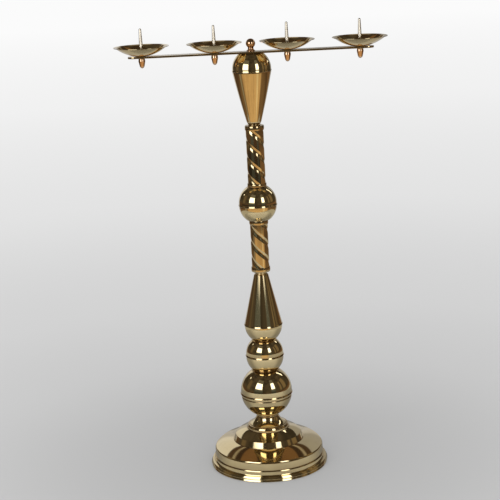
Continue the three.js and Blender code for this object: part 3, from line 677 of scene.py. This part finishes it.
# %% [markdown]
# The base. Five things show: the moulded rim around the iron weight, a low drum that rounds over into a
# wide plate, a leaning band with a second plate, the neck's ring, and the bell that flares out to it.
# Each was spun over a wooden form from one round of sheet, so every edge has a small radius.
# The plates swell a little in outline, but a spinner's roller leaves them straight enough that they
# mirror the room as a cone would. shade_straight gives their faces the normals of a cone.

# %% Base
BASE_WALL = 1.5
WALL = 1.2
HOLE = 4.5
DRUM = 122.8
STEP_FOOT, STEP_TOP = 80, 74.4
RING, BELL_FOOT = 47.3, 41.5
rim_height = top_of("base_rim") - foot_of("base_rim")
turned("base_rim", rounded([
    (DRUM - 1.5, 0),
    (DRUM + 8.6, 0, 0.3),
    (DRUM + 8.6, 0.7, 0.3),
    (DRUM + 6.3, 4.8, 0.2),
    (DRUM + 8.2, 5, 0.6),
    (DRUM + 10, 6.3, 0.7),
    (DRUM + 10, 6.8, 0.5),
    (DRUM + 7.3, 12, 0.5),
    (DRUM + 3.1, 12.3, 0.3),
    (DRUM + 2.2, 14, 0.4),
    (DRUM + 2.2, rim_height - 1.8, 0.3),
    (DRUM + 1.2, rim_height, 0.2),
    (DRUM - 7, rim_height),
    (DRUM - 7, rim_height - 1.5),
    (DRUM - 1.5, rim_height - 1.5),
], True), turns=160)

drum_height = top_of("base_drum") - foot_of("base_drum")
shoulder = arc(14.2, 9, 0, 38.4, DRUM - 9)
drum_plate = cushion(shoulder[-1], 38.4, drum_height - shoulder[-1][1])
drum_path = [(DRUM, 0), *shoulder, *drum_plate[1:], (STEP_FOOT - 6, drum_height)]
drum_meets = [(DRUM, 0), (STEP_FOOT, drum_height)]
drum = turned("base_drum", shell(drum_path, BASE_WALL), meets=drum_meets, turns=160)
shade_straight(drum, (20, 20), (STEP_FOOT, DRUM - 2.4))

step_height = top_of("base_step") - foot_of("base_step")
step_plate = cushion((STEP_TOP, 13), 42, step_height - 13)
step_path = [(STEP_FOOT, 0), (STEP_TOP, 13, 0.4), *step_plate[1:], (HOLE, step_height)]
step = turned("base_step", shell(step_path, BASE_WALL), meets=[(STEP_FOOT, 0), (RING, step_height)])
shade_straight(step, (34, 28), (RING, STEP_TOP - 0.4))

ring_height = top_of("neck_ring") - foot_of("neck_ring")
turned("neck_ring", shell([
    (RING, 0), (46.9, 4, 3), (44.6, 8.6, 1.5), (BELL_FOOT, ring_height, 0.8), (HOLE, ring_height),
], WALL), meets=[(RING, 0), (BELL_FOOT, ring_height)])

bell_height = top_of("neck_bell") - foot_of("neck_bell")
skirt = bulged((BELL_FOOT, 0.6), (29.6, 9.4), -0.6)
flank = bulged((29.6, 9.4), (24.9, 18.6), -0.5)
bell = [(BELL_FOOT, 0), *skirt, *flank[1:]]
bell_rim = [(24.1, 18.9, 0.2), (24.8, 19.8, 0.5), (24.6, bell_height - 0.9, 0.8), (23.7, bell_height, 0.4)]
inside = [*bell, (24.3, bell_height), (HOLE, bell_height)]
turned("neck_bell", shell([*bell, *bell_rim, (HOLE, bell_height)], WALL, inside),
       meets=[(BELL_FOOT, 0), (24.1, 18.9), (23.7, bell_height)])

# %% [markdown]
# The balls, the bowl and the heads of the cones. Each ball is two cups that were spun and then pressed
# over each other: the edge of the upper one stands out and laps over the rim of the lower one. That edge
# leans a little, so it catches the soft boxes as two bright dashes, with a dark line below.

# %% Balls, bowl, cones and dome
LAP = 2.0
LEDGE = 3.7


def ledge(inner, out):
    """The edge of a lapped wall, a face that leans out as it comes down from this radius."""
    return [(inner + out - 0.4, 0), (inner + out, 0.4, 0.3), (inner, LEDGE, 0.3)]


def cup_below(radius, pole, rim):
    """The outside of a round cup that opens upwards, from its flat pole to its straight rim."""
    middle = math.sqrt(radius ** 2 - pole ** 2)
    return [(HOLE, 0), *arc(middle, radius, -math.degrees(math.acos(pole / radius)), 0), (radius, rim)]


def cut_above(path, height):
    """The part of a path above a height, starting on it."""
    kept = []
    for a, b in zip(path, path[1:]):
        if a[1] <= height < b[1]:
            share = (height - a[1]) / (b[1] - a[1])
            kept.append((a[0] + (b[0] - a[0]) * share, height))
        if b[1] > height:
            kept.append(b)
    return kept


def ball_halves(name, radius, pole_below, pole_above, out, rim_top=None, line=None):
    """Two cups that lap. The lap stands out by this much, the wall above it may be shaded upright up to
    rim_top, and a fine line may be engraved in the lower cup. These last two are heights in the frame."""
    low, high = f"{name}_lower", f"{name}_upper"
    total = top_of(high) - foot_of(low)
    low_middle = math.sqrt(radius ** 2 - pole_below ** 2)
    high_middle = total - math.sqrt(radius ** 2 - pole_above ** 2)
    seam = foot_of(high) - foot_of(low)
    meridian = [
        (HOLE, 0),
        *arc(low_middle, radius, -math.degrees(math.acos(pole_below / radius)), 0, step=3),
        *arc(high_middle, radius, 0, math.degrees(math.acos(pole_above / radius)), step=3),
        (HOLE, total),
    ]
    rim = seam + LAP
    below = [p for p in meridian if p[1] < rim - 0.2]
    width = cut_above(meridian, rim)[0][0]
    outside = [*below, (width, rim)]
    grooved = outside
    if line:
        floor = line - foot_of(low)
        grooved = [p for p in below if p[1] < floor - 1.2]
        grooved += [(radius - 0.9, floor - 1), (radius - 1.7, floor + 1.2), (radius - 0.6, floor + 1.8)]
        grooved += [p for p in outside if p[1] > floor + 3]
    turned(low, shell(grooved, WALL, outside), meets=[(pole_below, 0)])
    above = [(r, z - seam) for r, z in cut_above(meridian, seam + LEDGE)]
    upper_cup = shell([*ledge(above[0][0], out)[:2], *above], WALL)
    piece = turned(high, upper_cup, meets=[(pole_above, total - seam)])
    if rim_top:
        shade_straight(piece, (90, 90), heights=(foot_of(high) + LEDGE, rim_top))
    print(name, "seam at", round(foot_of(high), 1), "mm")


LOW_POLE, BOWL_POLE = 30.4, 28
ball_halves("large_ball", 57.8, 25.4, LOW_POLE, 1.5, 179.6, 160)
ball_halves("small_ball", 42.1, LOW_POLE, BOWL_POLE, 1.5, 267)
ball_halves("middle_ball", 41.8, 26.1, 22.1, 1.1)

BOWL = 42.2
bowl_height = top_of("lower_bowl") - foot_of("lower_bowl")
turned("lower_bowl", shell(cup_below(BOWL, BOWL_POLE, bowl_height), WALL), meets=[(22.5, 0)])

cone_height = top_of("lower_cone") - foot_of("lower_cone")
turned("lower_cone", shell([
    *ledge(BOWL, 1.4), (15.8, cone_height, 0.8), (HOLE, cone_height),
], WALL), meets=[(14, cone_height)])

upper_height = top_of("upper_cone") - foot_of("upper_cone")
turned("upper_cone", shell([
    (HOLE, 0), (14.5, 0, 0.4),
    *bulged((16.2, 3.7), (BOWL, upper_height - 3.6), 0.7), (BOWL, upper_height),
], WALL), meets=[(14.2, 0)])

dome_height = top_of("dome") - foot_of("dome")
turned("dome", shell([
    *ledge(BOWL, 0.9),
    *arc(5.3, BOWL, 0, math.degrees(math.acos(26.4 / BOWL)), step=3), (HOLE, dome_height),
], WALL), meets=[(26.4, dome_height)])

# %% [markdown]
# Solid collars part the hollow pieces. Their waist is hollowed, which throws a bright line from
# above and one from below, with a dark one between.

# %% Collars and cups
def collar(name, radius, waist):
    height = top_of(name) - foot_of(name)
    side = bulged((radius, 0.4), (radius, height - 0.4), waist - radius, 8)
    outline = [(HOLE, 0), (radius, 0.0, 0.3), *side, (radius, height, 0.3), (HOLE, height)]
    turned(name, rounded(outline, True), meets=[(radius, 0), (radius, height)])


collar("low_collar", 27, 25.6)
collar("bowl_collar", 22.5, 21.2)
collar("cone_collar", 14, 12.8)
collar("top_collar", 14.2, 13)

TUBE = 19.7
CUP_BORE, CUP_RADIUS = 20.3, 21.1
for name, opens_up in (
    ("lower_tube_lower_cup", True), ("lower_tube_upper_cup", False),
    ("upper_tube_lower_cup", True), ("upper_tube_upper_cup", False),
):
    height = top_of(name) - foot_of(name)
    side = bulged((CUP_RADIUS - 0.3, 0.8), (CUP_RADIUS - 0.3, height), 0.5)
    outline = rounded([
        (HOLE, 0), (CUP_RADIUS - 1.2, 0, 0.5), *side, (CUP_BORE, height), (CUP_BORE, 1.5), (HOLE, 1.5),
    ], True)
    meets = [(CUP_RADIUS, 0), (CUP_BORE, height)]
    if not opens_up:
        outline = [(r, height - z) for r, z in outline]
        meets = [(r, height - z) for r, z in meets]
    turned(name, outline, meets=meets)

# %% [markdown]
# The twisted tubes follow a rule: a round tube with three shallow grooves, drawn through a die that
# turns, so that each groove climbs around it once in 110 mm. That is a job for Geometry Nodes. A circle
# goes up a straight line as a plain tube, and then every point is moved: inwards if a groove
# passes there, and around the axis by its height's share of a turn.

# %% Tree of the twisted tube
def number_input(group, name, value, kind="NodeSocketFloat"):
    socket = group.interface.new_socket(name, in_out="INPUT", socket_type=kind)
    if value is not None:
        socket.default_value = value
    return socket.identifier


def twist_tree():
    group = bpy.data.node_groups.new("twisted_tube", "GeometryNodeTree")
    tree = Tree(group)
    group.interface.new_socket("Geometry", in_out="INPUT", socket_type="NodeSocketGeometry")
    group.interface.new_socket("Geometry", in_out="OUTPUT", socket_type="NodeSocketGeometry")
    for name, value in (
        ("Foot", 0.0), ("Length", 0.1), ("Radius", 0.02), ("Lead", 0.1), ("Turn", 0.0),
        ("Starts", 3.0), ("Groove Height", 0.01), ("Groove Valley", 0.5), ("Groove Depth", 0.001),
    ):
        number_input(group, name, value)
    number_input(group, "Material", None, "NodeSocketMaterial")
    given = tree.add("NodeGroupInput")
    foot, length, radius = given.out("Foot"), given.out("Length"), given.out("Radius")

    def along(height):
        return tree.add("ShaderNodeCombineXYZ", None, {"Z": height})

    ends = {"Start": along(foot), "End": along(foot + length)}
    line = tree.add("GeometryNodeCurvePrimitiveLine", None, ends)
    line = tree.add("GeometryNodeResampleCurve", None, {"Curve": line, "Count": 150})
    circle = tree.add("GeometryNodeCurvePrimitiveCircle", None, {"Resolution": 144, "Radius": radius})
    tube = tree.add("GeometryNodeCurveToMesh", None, {
        "Curve": line, "Profile Curve": circle, "Fill Caps": True,
    })

    parts = tree.add("ShaderNodeSeparateXYZ", None, {0: tree.add("GeometryNodeInputPosition")})
    x, y, z = parts.out("X"), parts.out("Y"), parts.out("Z")
    angle = tree.math("ARCTAN2", y, x)
    share = (angle * given.out("Starts") / (2 * math.pi)).math("FRACT")
    width = given.out("Groove Height") / given.out("Lead") * given.out("Starts")
    across, valley = share / width, given.out("Groove Valley")
    upper_side = (1 - across) / (1 - valley)
    groove = (across / valley).math("MINIMUM", upper_side).rising(0.0, 1.0)
    new_radius = radius - given.out("Groove Depth") * groove
    new_angle = angle + given.out("Turn") - (z - foot) / given.out("Lead") * (2 * math.pi)
    moved = tree.add("ShaderNodeCombineXYZ", None, {
        "X": new_radius * new_angle.math("COSINE"), "Y": new_radius * new_angle.math("SINE"), "Z": z,
    })
    tube = tree.add("GeometryNodeSetPosition", None, {"Geometry": tube, "Position": moved})
    tube = tree.add(
        "GeometryNodeStoreNamedAttribute", {"data_type": "FLOAT", "domain": "POINT"},
        {"Geometry": tube, "Name": "crease", "Value": groove * 0.25},
    )
    tube = tree.add("GeometryNodeRealizeInstances", None, {"Geometry": tube})
    tube = tree.add("GeometryNodeSetMaterial", None, {"Geometry": tube, "Material": given.out("Material")})
    tree.add("NodeGroupOutput", None, {"Geometry": tube})
    return group


twist = twist_tree()
print("twisted tube:", len(twist.nodes), "nodes")

# %% Twisted tubes
def grown(name, group, values):
    """The plain mesh that a Geometry Nodes tree gives for these values of its inputs."""
    seed = bpy.data.objects.new(name, bpy.data.meshes.new(name))
    bpy.context.collection.objects.link(seed)
    modifier = seed.modifiers.new("growth", "NODES")
    modifier.node_group = group
    for item in group.interface.items_tree:
        if item.item_type == "SOCKET" and item.in_out == "INPUT" and item.name in values:
            modifier[item.identifier] = values[item.name]
    evaluated = seed.evaluated_get(bpy.context.evaluated_depsgraph_get())
    mesh = bpy.data.meshes.new_from_object(evaluated)
    bpy.data.objects.remove(seed)
    mesh.name = name
    return mesh


TUBE_LEAD = 110.25
GROOVES = 3
GROOVE_HEIGHT, GROOVE_DEPTH = 18, 1.1
GROOVE_VALLEY = 0.58  # how far up a groove its deepest line lies


def twisted(name, turn):
    foot, top = foot_of(name), top_of(name)
    mesh = grown(f"{name}_twisted", twist, {
        "Foot": foot * MM, "Length": (top - foot) * MM, "Radius": TUBE * MM, "Lead": TUBE_LEAD * MM,
        "Turn": math.radians(turn), "Starts": float(GROOVES), "Groove Height": GROOVE_HEIGHT * MM,
        "Groove Valley": GROOVE_VALLEY, "Groove Depth": GROOVE_DEPTH * MM, "Material": tube_brass,
    })
    mesh.shade_smooth()
    mesh.set_sharp_from_angle(angle=math.radians(40))
    return mesh_object(f"{name}_twisted", mesh, "column", [name])


twisted("lower_tube", 26)
twisted("upper_tube", 14)

# %% [markdown]
# The crossbar is flat bar stock with round ends and softly broken edges. A flat curve with a small
# bevel gives all of that at once, with the holes as further closed curves in it.

# %% Crossbar
HOLDER_PITCH = 156.8
HOLDERS = [(i - 1.5) * HOLDER_PITCH for i in range(4)]
BAR_WIDTH = 30
BAR_BREAK = 0.5


def circle_points(x, radius, start, end, steps):
    turns = [math.radians(start + (end - start) * i / steps) for i in range(steps + 1)]
    return [(x + radius * math.cos(t), radius * math.sin(t)) for t in turns]


bar_low, bar_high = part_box("crossbar")
bar_end = bar_high.x / MM - BAR_WIDTH / 2
curve = bpy.data.curves.new("crossbar", "CURVE")
curve.dimensions = "2D"
curve.fill_mode = "BOTH"
curve.extrude = ((bar_high.z - bar_low.z) / 2 / MM - BAR_BREAK) * MM
curve.bevel_depth = BAR_BREAK * MM
curve.bevel_resolution = 2
curve.offset = -BAR_BREAK * MM
right_end = circle_points(bar_end, BAR_WIDTH / 2, -90, 90, 32)
left_end = circle_points(-bar_end, BAR_WIDTH / 2, 90, 270, 32)
holes = [circle_points(0, 4.3, 0, 345, 23)] + [circle_points(x, 3.3, 0, 345, 23) for x in HOLDERS]
for loop in (right_end + left_end, *holes):
    spline = curve.splines.new("POLY")
    spline.points.add(len(loop) - 1)
    for point, (x, y) in zip(spline.points, loop):
        point.co = (x * MM, y * MM, 0, 1)
    spline.use_cyclic_u = True
pattern = bpy.data.objects.new("crossbar_pattern", curve)
bpy.context.collection.objects.link(pattern)
bar_mesh = bpy.data.meshes.new_from_object(pattern.evaluated_get(bpy.context.evaluated_depsgraph_get()))
bpy.data.objects.remove(pattern)
bar_mesh.transform(Matrix.Translation((0, 0, (bar_low.z + bar_high.z) / 2)))
made = bmesh.new()
made.from_mesh(bar_mesh)
bmesh.ops.remove_doubles(made, verts=made.verts, dist=1e-6)
bmesh.ops.recalc_face_normals(made, faces=made.faces)
made.to_mesh(bar_mesh)
made.free()
bar_mesh.shade_smooth()
bar_mesh.set_sharp_from_angle(angle=math.radians(32))
mesh_object("crossbar_bar", bar_mesh, "bar_and_holders", ["crossbar"], bar_brass)

# %% [markdown]
# Four drip pans and four prickets stand in a row on the bar, all alike. One of each is turned on the
# lathe, and Geometry Nodes repeats it along the row: a line of points at the holders' pitch, an
# instance on each, and Realize Instances to make real meshes of them.

# %% Row tree
def row_tree():
    group = bpy.data.node_groups.new("row_along_bar", "GeometryNodeTree")
    tree = Tree(group)
    group.interface.new_socket("Geometry", in_out="INPUT", socket_type="NodeSocketGeometry")
    group.interface.new_socket("Geometry", in_out="OUTPUT", socket_type="NodeSocketGeometry")
    number_input(group, "Sample", None, "NodeSocketObject")
    number_input(group, "Count", 4, "NodeSocketInt")
    number_input(group, "Pitch", 0.15)
    number_input(group, "Material", None, "NodeSocketMaterial")
    given = tree.add("NodeGroupInput").out("Sample")
    count, pitch = given.out("Count"), given.out("Pitch")
    start = tree.add("ShaderNodeCombineXYZ", None, {"X": (count - 1) * pitch * -0.5})
    step = tree.add("ShaderNodeCombineXYZ", None, {"X": pitch})
    line = tree.add("GeometryNodeMeshLine", {"mode": "OFFSET"}, {
        "Count": count, "Start Location": start, "Offset": step,
    })
    sample = tree.add("GeometryNodeObjectInfo", None, {"Object": given}).out("Geometry")
    row = tree.add("GeometryNodeInstanceOnPoints", None, {"Points": line, "Instance": sample})
    row = tree.add("GeometryNodeRealizeInstances", None, {"Geometry": row})
    row = tree.add("GeometryNodeSetMaterial", None, {"Geometry": row, "Material": given.out("Material")})
    tree.add("NodeGroupOutput", None, {"Geometry": row})
    return group


rows = row_tree()


def in_row(name, nodes, sample_mesh, material):
    sample = bpy.data.objects.new(f"{name}_sample", sample_mesh)
    bpy.context.collection.objects.link(sample)
    mesh = grown(name, rows, {
        "Sample": sample, "Count": len(HOLDERS), "Pitch": HOLDER_PITCH * MM, "Material": material,
    })
    bpy.data.objects.remove(sample)
    return mesh_object(name, mesh, "bar_and_holders", nodes)

# %% [markdown]
# A drip pan is a shallow spun dish with a flat seat in the middle. Its lip turns out, and its edge
# was rolled over to be safe to touch.

# %% Drip pans and prickets
PAN, PAN_LIP, PAN_DEPTH, PAN_WALL, PAN_SEAT = 60, 6, 18.2, 1.0, 11
dish_edge = PAN - PAN_LIP
dish_middle = (dish_edge ** 2 - PAN_SEAT ** 2 + PAN_DEPTH ** 2) / (2 * PAN_DEPTH)
dish_radius = math.hypot(PAN_SEAT, dish_middle)
seat_turn, edge_turn = (-math.degrees(math.acos(r / dish_radius)) for r in (PAN_SEAT, dish_edge))
dish = arc(dish_middle, dish_radius, seat_turn, edge_turn, step=2)
pan_top = top_of("pan_1") - foot_of("pan_1")
pan_outline = shell([(3.3, 0), *dish, (PAN - 0.15, pan_top - 0.6)], PAN_WALL)
pan = turned_mesh("pan_sample", pan_outline, foot_of("pan_1"), brass, [(8, 1), (11, 0)], turns=112)
in_row("drip_pans", [f"pan_{i}" for i in range(1, 5)], pan, brass)

SHANK, SPIKE_COLLAR, SPIKE = 3, 8, 4.9
spike_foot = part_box("crossbar")[1].z / MM + 1.6 - foot_of("pricket_1")
spike_waist = spike_foot + 2.5
spike_top = top_of("pricket_1") - foot_of("pricket_1")
pricket = turned_mesh("pricket_sample", rounded([
    (0, 0), (SHANK, 0, 0.6), (SHANK, spike_foot), (SPIKE_COLLAR, spike_foot, 0.5),
    (SPIKE_COLLAR, spike_waist, 0.7), (SPIKE, spike_waist, 0.8), (2.6, spike_top - 1.2, 1), (0, spike_top),
]), foot_of("pricket_1"), pale_brass, [(SPIKE, spike_waist), (SPIKE_COLLAR, spike_foot)], turns=48)
in_row("prickets", [f"pricket_{i}" for i in range(1, 5)], pricket, pale_brass)

# %% [markdown]
# An acorn nut closes each pricket's thread below the bar. It has a round tip, widens upwards and comes in
# again under the bar. Each turns on its own thread, so each is a piece of its own on its own body.

# %% Acorn nuts
NUT, NUT_SEAT, NUT_BORE, THREAD_DEPTH = 7.5, 6.6, 3.3, 10
for i, x in enumerate(HOLDERS, 1):
    name = f"acorn_nut_{i}"
    height = top_of(name) - foot_of(name)
    tip = [(5.7 * r, 8 * z) for r, z in arc(1, 1, -90, -14, step=6)]
    nut = rounded([
        (0, 0), *tip[1:], (NUT, 15.4, 0.6), (NUT - 0.6, 19.8, 0.3), (NUT_SEAT, height, 0.5),
        (NUT_BORE, height), (NUT_BORE, height - THREAD_DEPTH), (0, height - THREAD_DEPTH),
    ])
    turned(name, nut, red_brass, f"{name}_body", [(NUT_SEAT, height)], x, 64)

# %% [markdown]
# The finial is a ball on a coved neck, and it is the nut at the top of the tie rod.

# %% Finial
finial_height = top_of("finial") - foot_of("finial")
FINIAL_BALL, FINIAL_NECK = 10.3, 6
ball_start = -math.degrees(math.acos(FINIAL_NECK / FINIAL_BALL))
turned("finial", rounded([
    (4.3, 0), (9.7, 0, 0.4), (9.7, 1.4, 0.4), *bulged((9.3, 1.6), (FINIAL_NECK, 6.4), -0.9, 10),
    *arc(finial_height - FINIAL_BALL, FINIAL_BALL, ball_start, 90, step=6)[:-1],
    (0, finial_height), (0, 16.5), (4.3, 16.5),
]), red_brass, "finial_body", [(9.7, 0), (FINIAL_NECK, 6.6)], turns=72)

# %% [markdown]
# The rod, the nut and washer under the weight, the weight and the felt pad keep their plain solids,
# which have the right shape already, and only get their finish.

# %% Hidden pieces
hidden = {"tie_rod": steel, "base_nut": steel, "base_washer": steel, "base_weight": iron, "foot_pad": felt}
for node, material in hidden.items():
    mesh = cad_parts[node].data
    mesh.materials.clear()
    mesh.materials.append(material)
